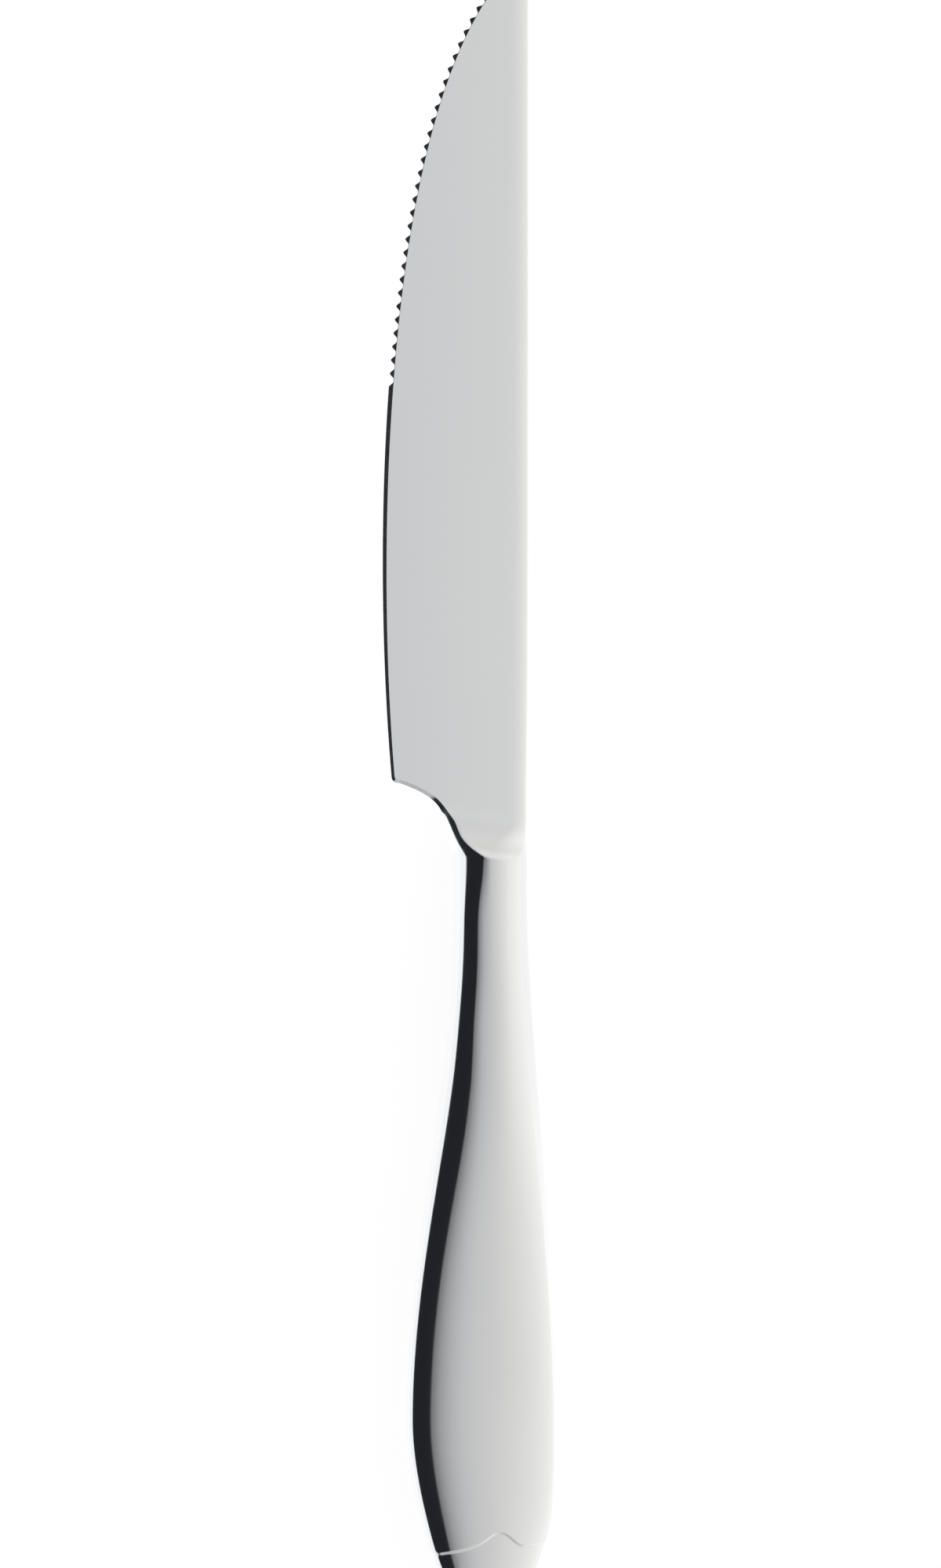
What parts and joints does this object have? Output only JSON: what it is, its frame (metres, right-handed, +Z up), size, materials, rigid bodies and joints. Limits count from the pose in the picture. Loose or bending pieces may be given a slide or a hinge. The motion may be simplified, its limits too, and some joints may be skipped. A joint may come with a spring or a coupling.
{
  "type": "steak knife",
  "caption": "Table steak knife with a partly serrated forged blade, a hollow ramped bolster and a smooth hollow steel handle that swells to a rounded end.",
  "frame": {"origin": "under the middle of the knife's bounding box, on the surface that the knife lies on", "axes": "+Y towards the tip, +X towards the spine and -X towards the cutting edge, +Z up, square to the flat of the blade"},
  "size_m": [0.025, 0.2396, 0.0094],
  "materials": {
    "blade_steel": "satin polished stainless steel, brushed along the blade",
    "handle_steel": "bright polished stainless steel",
    "filler": "cast resin cement"
  },
  "bodies": {
    "root": {"blade": "blade_steel", "handle_front_half": "handle_steel", "handle_back_half": "handle_steel", "tang_filler": "filler"}
  },
  "joints": []
}
